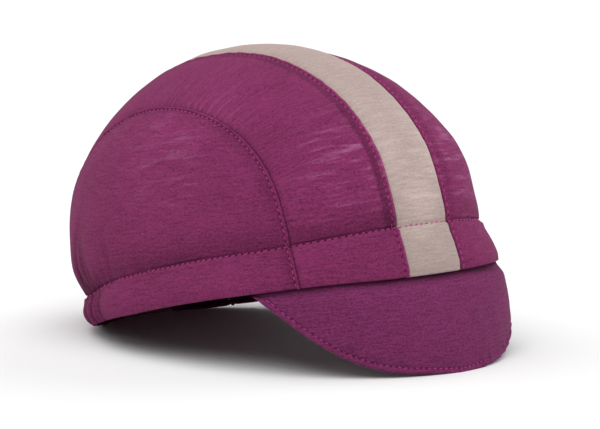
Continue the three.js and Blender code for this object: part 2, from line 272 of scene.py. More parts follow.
@dataclass(frozen=True)
class CapForm:
    """Driving sizes of the cap in millimetres and degrees, and the surfaces that follow from them."""

    front: float = 107.4
    side: float = 78.0
    back: float = 92.8
    square_front: float = 2.6
    square_back: float = 2.0
    crown_top: float = 122.5
    lean: float = 16.1
    ground_depth: float = 11.3
    origin: tuple[float, float] = (0.0, 6.313)
    stripe_half: float = 15.5
    seam_offset: float = 49.8
    seam_taper: float = 0.103
    cinch_crown: float = 9.0
    cinch_band: float = 6.0
    dip_depth: float = 0.6
    dip_width: float = 3.5
    dip_clear: float = 12.0
    roll_depth: float = 0.8
    roll_share: float = 0.12
    fold_fade: float = 5.0
    heart: tuple[float, float, float] = (0.0, 0.0, 40.0)
    # Spots where the knit is drawn thin and pales, which also paint highlight on the upper side panel and
    # the low front of the stripe.
    stretched_and_lit: Sequence[Spot] = (
        Spot(26.0, -99.0, 51.0, 29.0, 1.0),
        Spot(68.0, -32.0, 84.0, 40.0, 0.65),
        Spot(0.0, -109.0, 32.0, 14.0, 1.1),
    )
    folds: Sequence[Fold] = field(default_factory=lambda: main_folds() + fine_folds())

    HALVINGS = 36
    ON_RIM = 1 - 1e-6
    STATIONS = (0, 45, 90, 135, 180)
    RISES = (0, 8, 20, 34, 48, 62, 76, 90)
    stitches: Curve = Curve(STATIONS, (21.9, 21.8, 25.6, 23.5, 30.4))
    hem: Curve = Curve(STATIONS, (-1.0, 3.0, 8.2, 9.5, 11.7))
    flare: Curve = Curve(STATIONS, (3.5, 6.0, 3.6, -1.9, -3.4))
    bulge: Curve = Curve(STATIONS, (0.7, 0.7, 0.9, 2.4, 3.7))
    cinch: Curve = Curve(STATIONS, (0.0, 0.0, 0.6, 2.0, 2.6))
    swell_front: Curve = Curve(RISES, (1, 1.018, 1.049, 1.055, 1.055, 1.055, 1.055, 1.055), False)
    swell_side: Curve = Curve(RISES, (1, 0.995, 1.006, 1.014, 0.99, 0.976, 0.972, 0.971), False)
    swell_back: Curve = Curve(RISES, (1, 1.069, 1.112, 1.164, 1.189, 1.2, 1.206, 1.207), False)

    @staticmethod
    def from_front(theta: Array) -> Array:
        """Angle from the front, from 0 to 180 degrees, on either side of the cap."""
        turn = np.degrees(theta) % 360
        return np.minimum(turn, 360 - turn)

    def fold_depth(self, theta: Array, height: Array) -> Array:
        """Depth of the gathers.

        Args:
            theta: Angles round the cap, in radians.
            height: Heights above the stitches, negative on the band.

        Returns:
            How far the cloth is drawn in there.
        """
        turn = np.degrees(theta) % 360
        depth = np.zeros(np.broadcast(theta, height).shape)
        up, down = np.maximum(height, 0), smoothstep(-height, 0, self.fold_fade)
        for fold in self.folds:
            place = (turn - fold.angle - fold.slant * up) / fold.width
            depth = depth + fold.depth * bell(place) * bell(up / fold.climb) * lerp(1, fold.below, down)
        return depth

    def oval(self, theta: Array, radii: Sequence[Array], height: Array, roundness: Array,
             push: Array) -> Array:
        """Points of an oval, moved out from the axis.

        Args:
            theta: Angles from the front, by the right ear.
            radii: Reach to the front, the side and the back.
            height: Height of each point.
            roundness: Zero for the hem's squarer oval, one for an ellipse.
            push: How far each point is moved out.

        Returns:
            Points with a last axis of three.
        """
        c, s = np.cos(theta), np.sin(theta)
        power = 2 / lerp(np.where(c > 0, self.square_front, self.square_back), 2.0, roundness)
        x = -radii[1] * signed_power(s, power)
        y = -np.where(c > 0, radii[0], radii[2]) * signed_power(c, power)
        outward = 1 + push / np.maximum(np.hypot(x, y), 1)
        return np.stack(np.broadcast_arrays(x * outward, y * outward, height), axis=-1)

    def crown(self, across: Array, along: Array) -> Array:
        """Points of the crown, from places on a disc whose rim is the row of stitches.

        Args:
            across: Places to the side, positive on the wearer's right.
            along: Places from -1 at the front to 1 at the back.

        Returns:
            Points with a last axis of three.
        """
        rise = 90 * (1 - np.hypot(across, along))
        theta = np.arctan2(across, -along)
        flat, tall = np.cos(np.radians(rise)), np.sin(np.radians(rise))
        radii = (
            self.front * flat * self.swell_front(rise),
            self.side * flat * self.swell_side(rise),
            self.back * flat * self.swell_back(rise),
        )
        angle = self.from_front(theta)
        base = self.stitches(angle)
        height = (self.crown_top - base) * tall
        cinch = self.cinch(angle) * bell(height / self.cinch_crown)
        return self.oval(theta, radii, base + height, tall**2, -cinch - self.fold_depth(theta, height))

    def band(self, theta: Array, share: Array, gathered: bool = True) -> Array:
        """Points of the band below the stitches.

        Args:
            theta: Angles round the cap, in radians.
            share: Zero at the stitches and one at the hem.
            gathered: Whether the gathers show.

        Returns:
            Points with a last axis of three.
        """
        angle = self.from_front(theta)
        fall = (self.stitches(angle) - self.hem(angle)) * share
        push = self.flare(angle) * share + self.bulge(angle) * np.sin(math.pi * np.minimum(share, 1))
        push = push - self.cinch(angle) * bell(fall / self.cinch_band)
        push = push - self.roll_depth * bell((1 - share) / self.roll_share)
        if gathered:
            push = push - self.fold_depth(theta, -fall)
        return self.oval(theta, (self.front, self.side, self.back), self.stitches(angle) - fall, 0.0, push)

    def normals(self, form: Form, a: Array, b: Array) -> Array:
        """Normals of a surface, away from the head.

        Args:
            form: The surface as a function of two values.
            a: First value of each point.
            b: Second value of each point.

        Returns:
            Unit normals with a last axis of three.
        """
        first = form(a + NUDGE, b) - form(a - NUDGE, b)
        second = form(a, b + NUDGE) - form(a, b - NUDGE)
        normal = unit(np.cross(first, second))
        outside = np.sum(normal * (form(a, b) - np.array(self.heart)), axis=-1, keepdims=True)
        return np.where(outside < 0, -normal, normal)

    def stretch_and_light(self, points: Array) -> Array:
        """How far the cloth is drawn thin over the front and the side of the head, where it pales; the same
        spots also paint highlight on lit patches.

        Args:
            points: Points of the cloth, with a last axis of three.

        Returns:
            Values from zero to about one.
        """
        total = np.zeros(points.shape[:-1])
        for spot in self.stretched_and_lit:
            x = np.abs(points[..., 0]) - spot.x
            y, z = points[..., 1] - spot.y, points[..., 2] - spot.z
            total = np.maximum(total, spot.share * bell(np.sqrt(x * x + y * y + z * z) / spot.reach))
        return total

    def seam_gap(self, points: Array, offset: float, taper: float) -> Array:
        """Signed distance from the upright plane of a seam, positive away from the middle."""
        return np.abs(points[..., 0]) + taper * points[..., 1] - offset

    def crown_skin(self, across: Array, along: Array) -> tuple[Array, Array]:
        """Points and normals of the crown, drawn in along its seams.

        Args:
            across: Places to the side on the crown's disc.
            along: Places from the front to the back of the disc.

        Returns:
            The points and their unit normals.
        """
        points, normals = self.crown(across, along), self.normals(self.crown, across, along)
        theta = np.arctan2(across, -along)
        rim = np.hypot(across, along) > self.ON_RIM
        both = unit(normals + self.normals(self.band, theta, np.zeros_like(theta)))
        normals = np.where(rim[..., None], both, normals)
        to_stripe = self.seam_gap(points, self.stripe_half, 0.0) / self.dip_width
        to_side = self.seam_gap(points, self.seam_offset, self.seam_taper) / self.dip_width
        above = points[..., 2] - self.stitches(self.from_front(theta))
        dip = self.dip_depth * np.maximum(bell(to_stripe), bell(to_side))
        dip = dip * (1 - bell(above / self.dip_clear))
        return points - normals * dip[..., None], normals

    def band_skin(self, theta: Array, share: Array) -> tuple[Array, Array]:
        """Points and normals of the band."""
        return self.band(theta, share), self.normals(self.band, theta, share)

    def plane_cut(self, along: Array, offset: Array, taper: Array) -> tuple[Array, Array]:
        """Places on the crown's disc where its rows meet the upright plane of a seam.

        Args:
            along: Row of each place, from -1 at the front to 1 at the back.
            offset: Distance of the plane from the middle, positive on the wearer's right.
            taper: How much nearer to the middle the plane comes for each step back.

        Returns:
            The places across and along.
        """
        along, offset, taper = np.broadcast_arrays(np.asarray(along, float), offset, taper)
        side = np.where(offset < 0, -1.0, 1.0)
        low, high = np.zeros(along.shape), np.ones(along.shape)
        for _ in range(self.HALVINGS):
            middle = (low + high) / 2
            point = self.crown(side * middle, along * np.sqrt(1 - middle**2))
            inside = np.abs(point[..., 0]) < np.abs(offset) - taper * point[..., 1]
            low, high = np.where(inside, middle, low), np.where(inside, high, middle)
        return side * low, along * np.sqrt(1 - low**2)

    def settle(self, points: Array) -> Array:
        """Leans the upright cap back, sets it on the ground and scales it to metres.

        Args:
            points: Points of the upright cap, in millimetres.

        Returns:
            Points in the row frame, in metres.
        """
        turn = np.array(Matrix.Rotation(-math.radians(self.lean), 3, "X"))
        leaning = points @ turn.T + np.array([*self.origin, self.ground_depth])
        leaning[..., 2] = np.maximum(leaning[..., 2], 0)
        return leaning * METRE


@dataclass
class ClothLine:
    """Line on the cloth that is followed by its length: a seam, a row of stitches or an edge.

    The stitches lie beside the line, at stitch_at to its positive side. A line that isn't ridged lies flat.
    """

    CREASE_END = 0.25

    points: Array
    normals: Array
    positive: Array
    stitch_at: float
    pitch: float
    ridged: bool = True

    def __post_init__(self) -> None:
        """Works out the lengths along the line and the directions across it."""
        steps = np.linalg.norm(np.diff(self.points, axis=0), axis=1)
        self.lengths = np.concatenate([[0], np.cumsum(steps)])
        self.along = unit(np.gradient(self.points, axis=0))
        aside = unit(np.cross(self.along, self.normals))
        wrong = np.sum(aside * self.positive, axis=-1, keepdims=True) < 0
        self.aside = np.where(wrong, -aside, aside)
        self.tree = KDTree(len(self.points))
        for number, point in enumerate(self.points):
            self.tree.insert(point, number)
        self.tree.balance()

    @property
    def length(self) -> float:
        """Length of the whole line."""
        return float(self.lengths[-1])

    def locate(self, places: Array) -> tuple[Array, Array]:
        """Finds places beside the line.

        Args:
            places: Points with a last axis of three.

        Returns:
            The signed distance of each place from the line, and the length along the line to it.
        """
        flat = places.reshape(-1, 3)
        nearest = np.array([self.tree.find(point)[1] for point in flat])
        best = np.full(len(flat), np.inf)
        arc, foot_aside = np.zeros(len(flat)), np.zeros((len(flat), 3))
        for first in (nearest - 1, nearest):
            start = np.clip(first, 0, len(self.points) - 2)
            edge = self.points[start + 1] - self.points[start]
            size = np.sum(edge * edge, axis=1)
            share = np.clip(np.sum((flat - self.points[start]) * edge, axis=1) / size, 0, 1)
            away = flat - self.points[start] - edge * share[:, None]
            far = np.linalg.norm(away, axis=1)
            better = far < best
            best = np.where(better, far, best)
            arc = np.where(better, lerp(self.lengths[start], self.lengths[start + 1], share), arc)
            foot_aside = np.where(better[:, None], away, foot_aside)
        sign = np.where(np.sum(foot_aside * self.aside[nearest], axis=1) < 0, -1, 1)
        return (best * sign).reshape(places.shape[:-1]), arc.reshape(places.shape[:-1])

    def at(self, arc: Array, what: Array) -> Array:
        """Values of an array of the line's points, at lengths along it."""
        return np.stack([np.interp(arc, self.lengths, what[:, axis]) for axis in range(3)], axis=-1)

    def facts(self, aside: Array, arc: Array) -> Array:
        """Distances from the stitches, lengths in stitches and distances from the line, as a last axis."""
        seam = aside if self.ridged else np.where(aside > self.CREASE_END, FAR_OFF, aside)
        return np.stack(np.broadcast_arrays(aside - self.stitch_at, arc / self.pitch, seam), axis=-1)


@dataclass(frozen=True)
class SeamRelief:
    """Relief across a seam that is topstitched on its positive side."""

    valley: Hump = Hump(-0.12, 0.0, 0.3)
    ridge: Hump = Hump(0.5, 0.95, 0.8)
    hollow: Hump = Hump(-0.35, 2.3, 3.0)
    groove: Hump = Hump(-0.4, 2.3, 0.5)
    far_valley: Hump = Hump(-0.45, 0.0, 0.45)
    far_side: Hump = Hump(-0.639, 0.0, 1.8)
    pucker: Waves = Waves(0.14, 6.5, 4)
    pucker_width: float = 4.0

    def height(self, aside: Array, arc: Array) -> Array:
        """Height of the relief.

        Args:
            aside: Signed distances from the seam.
            arc: Lengths along it.

        Returns:
            Heights, negative where the cloth is drawn in.
        """
        near = self.valley(aside) + self.ridge(aside) + self.hollow(aside)
        far = self.far_valley(aside) + self.far_side(aside)
        pucker = self.pucker(arc[..., None]) * bell((aside - self.groove.at) / self.pucker_width)
        return np.where(aside > 0, near, far) + self.groove(aside) + pucker


@dataclass(frozen=True)
class RowRelief:
    """Relief across the row of stitches above the band, whose positive side is the crown."""

    valley: Hump = Hump(-0.5, 0.42, 0.32)
    draw_in: Hump = Hump(-0.5, 0.0, 3.2)
    draw_in_below: Hump = Hump(-0.5, 0.0, 0.8)
    groove: Hump = Hump(-0.3, -0.45, 0.45)
    puff: Hump = Hump(0.35, -1.8, 1.3)
    uneven: Waves = Waves(0.35, 60, 17)
    pucker: Waves = Waves(0.16, 7.0, 9)
    pucker_width: float = 4.0

    def height(self, above: Array, arc: Array) -> Array:
        """Height of the relief.

        Args:
            above: Signed distances from the row, positive above it.
            arc: Lengths along it.

        Returns:
            Heights, negative where the cloth is drawn in.
        """
        drawn = self.valley(above) + np.where(above > 0, self.draw_in(above), self.draw_in_below(above))
        relief = drawn * (1 + self.uneven(arc[..., None])) + self.groove(above) + self.puff(above)
        return relief + self.pucker(arc[..., None]) * bell(above / self.pucker_width)


@dataclass
class Sheet:
    """Grid of cloth points, outer and inner, that closes into one piece.

    The first and the last row may be rounded edges; a ring's columns meet.
    """

    outer: Array
    inner: Array
    facts: Mapping[str, Array]
    rounded: tuple[bool, bool] = (False, True)
    ring: bool = False
    arc_steps: int = 6

    def edge_rows(self, row: int, behind: int) -> list[Array]:
        """Rows of a rounded edge, from the outer to the inner layer.

        Args:
            row: The grid's row at the edge.
            behind: The row before it.

        Returns:
            The rows of points between the two layers.
        """
        middle = (self.outer[row] + self.inner[row]) / 2
        half = (self.outer[row] - self.inner[row]) / 2
        ahead = unit(self.outer[row] - self.outer[behind]) * np.linalg.norm(half, axis=-1, keepdims=True)
        turns = [math.pi * step / self.arc_steps for step in range(1, self.arc_steps)]
        return [middle + half * math.cos(turn) + ahead * math.sin(turn) for turn in turns]

    def loops(self) -> tuple[list[Array], list[int]]:
        """Lays out the rows of points all round the sheet.

        Returns:
            The rows, and the grid row that each takes its facts from.
        """
        rows, sources = list(self.outer), list(range(len(self.outer)))
        if self.rounded[1]:
            extra = self.edge_rows(-1, -2)
            rows, sources = rows + extra, sources + [len(self.outer) - 1] * len(extra)
        rows, sources = rows + list(self.inner[::-1]), sources + list(range(len(self.outer)))[::-1]
        if self.rounded[0]:
            extra = self.edge_rows(0, 1)[::-1]
            rows, sources = rows + extra, sources + [0] * len(extra)
        return rows, sources

    def faces(self, loop: int) -> list[tuple[int, ...]]:
        """Faces of the closed sheet.

        Args:
            loop: Number of rows all round it.

        Returns:
            Vertex numbers of each face.
        """
        count, across = self.outer.shape[:2]
        index = np.arange(loop * across).reshape(loop, across)
        after = np.roll(index, -1, axis=0)
        left, right = (index, np.roll(index, -1, axis=1)) if self.ring else (index[:, :-1], index[:, 1:])
        below_left = after if self.ring else after[:, :-1]
        below_right = np.roll(after, -1, axis=1) if self.ring else after[:, 1:]
        quads = np.stack([left, right, below_right, below_left], axis=-1).reshape(-1, 4)
        faces = [tuple(quad) for quad in quads.tolist()]
        if self.ring:
            return faces
        last_extra = self.arc_steps - 1 if self.rounded[1] else 0
        partner = [2 * count - 1 + last_extra - row for row in range(count)]
        for column, turned in ((0, False), (across - 1, True)):
            side = index[:, column].tolist()
            walls = [(side[row], side[row + 1], side[partner[row + 1]], side[partner[row]])
                     for row in range(count - 1)]
            if self.rounded[1]:
                walls.append(tuple(side[count - 1:partner[-1] + 1]))
            if self.rounded[0]:
                walls.append(tuple([*side[partner[0]:], side[0]]))
            faces += [wall[::-1] if turned else wall for wall in walls]
        return faces

    def build(self, name: str, form: CapForm) -> bpy.types.Object:
        """Makes the Blender object.

        Args:
            name: Its name.
            form: The cap that it belongs to.

        Returns:
            The new object, in place.
        """
        rows, sources = self.loops()
        points = form.settle(np.concatenate(rows))
        facts = {key: value[sources].reshape(-1, 3) for key, value in self.facts.items()}
        return mesh_object(name, points, self.faces(len(rows)), facts)


def outward(points: Array, faces: Sequence[tuple[int, ...]]) -> bool:
    """Whether the faces of a closed mesh look outwards, by the sign of its volume.

    Args:
        points: Its vertices.
        faces: Vertex numbers of each face, of which those with four corners are measured.

    Returns:
        True if they look outwards.
    """
    quads = np.array([face for face in faces if len(face) == 4])
    corners = np.concatenate([quads[:, :3], quads[:, [0, 2, 3]]])
    a, b, c = (points[corners[:, number]] - points.mean(axis=0) for number in range(3))
    return float(np.sum(a * np.cross(b, c))) > 0


def linked(name: str, data: bpy.types.ID) -> bpy.types.Object:
    """Makes an object that shows a mesh, a camera or a lamp.

    Args:
        name: Its name.
        data: What it shows.

    Returns:
        The new object, linked to the scene.
    """
    thing = bpy.data.objects.new(name, data)
    bpy.context.scene.collection.objects.link(thing)
    return thing


def mesh_object(name: str, points: Array, faces: Sequence[tuple[int, ...]],
                facts: Mapping[str, Array], crease: float = 55.0) -> bpy.types.Object:
    """Makes a smooth mesh object.

    Args:
        name: Its name.
        points: Vertices in metres.
        faces: Vertex numbers of each face.
        facts: Vectors for the materials, one for each vertex, by name.
        crease: Degrees between two faces from which their edge is sharp.

    Returns:
        The new object, linked to the scene.
    """
    if not outward(points, faces):
        faces = [face[::-1] for face in faces]
    mesh = bpy.data.meshes.new(name)
    mesh.from_pydata(points.tolist(), [], faces)
    for key, value in facts.items():
        attribute = mesh.attributes.new(key, "FLOAT_VECTOR", "POINT")
        attribute.data.foreach_set("vector", np.ascontiguousarray(value, np.float32).ravel())
    mesh.shade_smooth()
    mesh.set_sharp_from_angle(angle=math.radians(crease))
    mesh.update()
    return linked(name, mesh)


def seat(piece: bpy.types.Object, finish: bpy.types.Material, slot: Slot, *nodes: str) -> None:
    """Gives a piece its finish and its place in the frame.

    Args:
        piece: The new piece.
        finish: Its material.
        slot: The record's material slot that it belongs to; not used.
        nodes: The solids that it stands for.
    """
    piece.data.materials.append(finish)
    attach(piece, "root")
    if nodes:
        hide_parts(*nodes)
    triangles = sum(len(face.vertices) - 2 for face in piece.data.polygons)
    LOG.info("%s: %d triangles", piece.name, triangles)


def softened(vectors: Array, passes: int) -> Array:
    """Unit vectors of a grid, evened out over their neighbours.

    Args:
        vectors: The grid, with a last axis of three.
        passes: How often each is averaged with its neighbours.

    Returns:
        The evened unit vectors.
    """
    for _ in range(passes):
        tall = np.pad(vectors, ((1, 1), (0, 0), (0, 0)), mode="edge")
        vectors = (tall[:-2] + 2 * tall[1:-1] + tall[2:]) / 4
        wide = np.pad(vectors, ((0, 0), (1, 1), (0, 0)), mode="edge")
        vectors = unit((wide[:, :-2] + 2 * wide[:, 1:-1] + wide[:, 2:]) / 4)
    return vectors


@dataclass
class Tailoring:
    """Seams and rows of stitches that the panels share, and the relief that they give the cloth."""

    ROW_POINTS = 1801
    SEAM_POINTS = 901
    BAND_POINTS = 40
    SOFTENINGS = 8

    form: CapForm
    pitch: float = 3.15
    stripe_insets: Mapping[Side, float] = field(default_factory=lambda: {Side.RIGHT: 2.3, Side.LEFT: 1.25})
    side_inset: float = 1.7
    row_inset: float = -0.35
    wall: float = 1.4
    allowance: float = 1.8
    allowance_width: float = 3.0
    band_allowance: float = 0.5
    doubled_from: tuple[float, float] = (2.3, 3.2)
    doubled_to: tuple[float, float] = (6.2, 7.4)
    doubled_ragged: tuple[Waves, Waves] = (Waves(0.35, 9, 41), Waves(0.25, 3, 42))
    doubled_left: float = 0.35
    # beside, its span, above_between, deepest_shade and left_shading set painted shade: beside the side
    # seam, above the row (weaker on the wearer's left), and in the gathers.
    beside: float = 0.8
    beside_between: tuple[float, float] = (1.5, 9.0)
    above_between: tuple[float, float] = (0.5, 15.0)
    deepest_shade: float = 2.5
    row_sunk: float = 0.13
    sunk_between: tuple[float, float] = (45.0, 70.0)
    stripe_share: float = 0.45
    left_shading: float = 0.3
    deepest: float = 1.6
    unevenness: tuple[Waves, Waves] = (Waves(0.30, 46, 21), Waves(0.09, 15, 22))
    right_relief: SeamRelief = SeamRelief()
    left_relief: SeamRelief = SeamRelief(
        valley=Hump(-0.3, 0.0, 0.3), ridge=Hump(0.12, 0.6, 0.4), hollow=Hump(-0.2, 1.25, 2.0),
        groove=Hump(-0.2, 1.25, 0.4), far_side=Hump(-0.608, 0.0, 1.8), pucker=Waves(0.08, 6.5, 4))
    side_relief: SeamRelief = SeamRelief(
        valley=Hump(-0.15, 0.0, 0.3), ridge=Hump(0.6, 0.8, 0.6), hollow=Hump(-0.35, 1.7, 3.0),
        groove=Hump(-0.4, 1.7, 0.42), far_valley=Hump(-0.22, 0.0, 0.3))
    row_relief: RowRelief = RowRelief()
    lines: dict[str, ClothLine] = field(default_factory=dict)

    def __post_init__(self) -> None:
        """Lays out the five lines."""
        form = self.form
        for side in Side:
            offset, inset = side.value * form.stripe_half, self.stripe_insets[side]
            self.lines["stripe_" + side.name] = self.seam(offset, 0.0, inset, side is Side.RIGHT)
            offset = side.value * form.seam_offset
            self.lines["side_" + side.name] = self.seam(offset, form.seam_taper, self.side_inset)
        theta = np.linspace(0, 2 * math.pi, self.ROW_POINTS)
        points, normals = form.crown_skin(np.sin(theta), -np.cos(theta))
        row = ClothLine(points, normals, np.array([0, 0, 1.0]), self.row_inset, self.pitch)
        row.pitch = row.length / round(row.length / self.pitch)
        self.lines["row"] = row
        self.row_theta = theta

    def seam(self, offset: float, taper: float, inset: float, ridged: bool = True) -> ClothLine:
        """A seam from the front hem over the crown to the back hem.

        Args:
            offset: Distance of its plane from the middle, positive on the wearer's right.
            taper: How much nearer to the middle the plane comes for each step back.
            inset: How far from the seam it is topstitched.
            ridged: Whether its allowance raises a ridge.

        Returns:
            The line, whose stitched side is away from the middle.
        """
        form = self.form
        disc = form.plane_cut(np.linspace(-1, 1, self.SEAM_POINTS), offset, taper)
        crown, crown_normals = form.crown_skin(*disc)
        shares = np.linspace(0, 1, self.BAND_POINTS + 1)[1:]
        front, back = (np.full_like(shares, np.arctan2(disc[0][end], -disc[1][end])) for end in (0, -1))
        start, start_normals = form.band_skin(front, shares)
        end, end_normals = form.band_skin(back, shares)
        points = np.concatenate([start[::-1], crown, end])
        normals = np.concatenate([start_normals[::-1], crown_normals, end_normals])
        away = np.stack(np.broadcast_arrays(np.sign(points[:, 0]), taper, 0.0), axis=-1)
        return ClothLine(points, normals, away, inset, self.pitch, ridged)

    def stripe_relief(self, side: Side) -> SeamRelief:
        """Relief of a seam of the stripe; the left one is sewn flatter."""
        return self.right_relief if side is Side.RIGHT else self.left_relief

    def row_arc(self, theta: Array) -> Array:
        """Length along the row of stitches at angles in radians, of any number of turns."""
        turns, row = np.floor(theta / (2 * math.pi)), self.lines["row"]
        return turns * row.length + np.interp(theta - turns * 2 * math.pi, self.row_theta, row.lengths)

    def soft(self, points: Array) -> Array:
        """Slow unevenness of the cloth."""
        return sum(waves(points) for waves in self.unevenness)

    def row_height(self, points: Array, above: Array, arc: Array) -> Array:
        """Height of the row's relief, which is less on the stripe, at points above and along the row."""
        share = np.where(np.abs(points[..., 0]) < self.form.stripe_half, self.stripe_share, 1.0)
        return self.row_relief.height(above, arc) * share

    def thread_height(self, line: ClothLine) -> Array:
        """Height of the cloth's face over the plain form under the stitches of a line.

        Args:
            line: A seam or the row.

        Returns:
            The height at each point of the line.
        """
        points = line.points + line.aside * line.stitch_at
        height = self.soft(points)
        for side in Side:
            for kind, relief in (("stripe_", self.stripe_relief(side)), ("side_", self.side_relief)):
                height += relief.height(*self.lines[kind + side.name].locate(points))
        aside, arc = self.lines["row"].locate(points)
        ends = np.minimum(np.arange(len(points)), np.arange(len(points))[::-1])
        on_band = (line is self.lines["row"]) | (ends < self.BAND_POINTS)
        height += self.row_height(points, np.abs(aside) * np.where(on_band, -1, 1), arc)
        if line is self.lines["row"]:
            height -= self.row_sunk * smoothstep(self.form.from_front(self.row_theta), *self.sunk_between)
        return np.maximum(height, -self.deepest)

    def doubling(self, aside: Array, arc: Array, side: Side) -> Array:
        """Where the seam allowance lies behind the cloth, beside a seam of the stripe.

        Args:
            aside: Signed distances from the seam.
            arc: Lengths along it.
            side: Side of the cap; the left one shows it less.

        Returns:
            Values from zero to one.
        """
        ragged = aside + sum(waves(arc[..., None]) for waves in self.doubled_ragged)
        shown = smoothstep(aside, *self.doubled_from) * (1 - smoothstep(ragged, *self.doubled_to))
        return shown * (1.0 if side is Side.RIGHT else self.doubled_left)

    def sheet(self, points: Array, normals: Array, theta: Array, on_crown: Array, grain: Array,
              stripe: Side | None, side: Side | None, rounded: tuple[bool, bool]) -> Sheet:
        """Gives a grid of the cap's surface its relief and its thickness.

        Args:
            points: The grid, in millimetres.
            normals: Its unit normals.
            theta: Angle of each point round the cap.
            on_crown: Whether each row is above the stitches.
            grain: Place of each point in the knit, across and along, in millimetres.
            stripe: Side of the stripe whose seam the grid meets, or None for the stripe itself.
            side: Side of the side seam that it meets, or None.
            rounded: Whether its first and last rows are rounded edges.

        Returns:
            The sheet.
        """
        relief, allowance, doubling_and_hem_shade, shaded = np.zeros((4, *points.shape[:2]))
        nearest = np.full(points.shape[:2], FAR_OFF)
        far = np.full(points.shape, FAR_OFF)
        facts = {"grain": grain, "edging": far, "seaming": far}
        for edge in [stripe] if stripe else ([] if side else list(Side)):
            line = self.lines["stripe_" + edge.name]
            aside, arc = line.locate(points)
            relief += self.stripe_relief(edge).height(aside, arc)
            allowance = np.maximum(allowance, bell(aside / self.allowance_width))
            doubling_and_hem_shade = np.maximum(doubling_and_hem_shade, self.doubling(aside, arc, edge))
            closer = (np.abs(aside) < nearest)[..., None]
            facts["edging"] = np.where(closer, line.facts(aside, arc), facts["edging"])
            nearest = np.minimum(nearest, np.abs(aside))
        if side:
            line = self.lines["side_" + side.name]
            aside, arc = line.locate(points)
            relief += self.side_relief.height(aside, arc)
            allowance = np.maximum(allowance, bell(aside / self.allowance_width))
            facts["seaming"] = line.facts(aside, arc)
            # Painted shade on the inside of the side seam.
            shaded = np.where(aside > 0, self.beside * (1 - smoothstep(aside, *self.beside_between)), 0)
        row = self.lines["row"]
        above = np.abs(row.locate(points)[0]) * np.where(on_crown, 1, -1)[:, None]
        arc = self.row_arc(theta)
        relief += self.row_height(points, above, arc)
        facts["hemming"] = row.facts(above, arc)
        doubling_and_hem_shade = doubling_and_hem_shade * (above > 0)
        # Painted shade just above the row, and in the gathers by their depth.
        near_row = (1 - smoothstep(above, *self.above_between)) * (above > 0)
        near_row *= np.where(points[..., 0] > self.form.stripe_half, self.left_shading, 1.0)
        folded = np.minimum(self.form.fold_depth(theta, above), self.deepest_shade)
        shaded = np.maximum(np.maximum(shaded, near_row), folded)
        # The vector holds seam doubling, painted shade beside the side seam, above the row and in the
        # gathers, and thin-cloth paling that is partly painted highlight.
        facts["wear"] = np.stack([doubling_and_hem_shade, shaded, self.form.stretch_and_light(points) * (1 - doubling_and_hem_shade)], axis=-1)
        base = points + normals * self.soft(points)[..., None]
        depth = np.where(on_crown[:, None], self.allowance, self.band_allowance) * allowance + self.wall
        inner = base - softened(normals, self.SOFTENINGS) * depth[..., None]
        return Sheet(base + normals * np.maximum(relief, -self.deepest)[..., None], inner, facts, rounded)


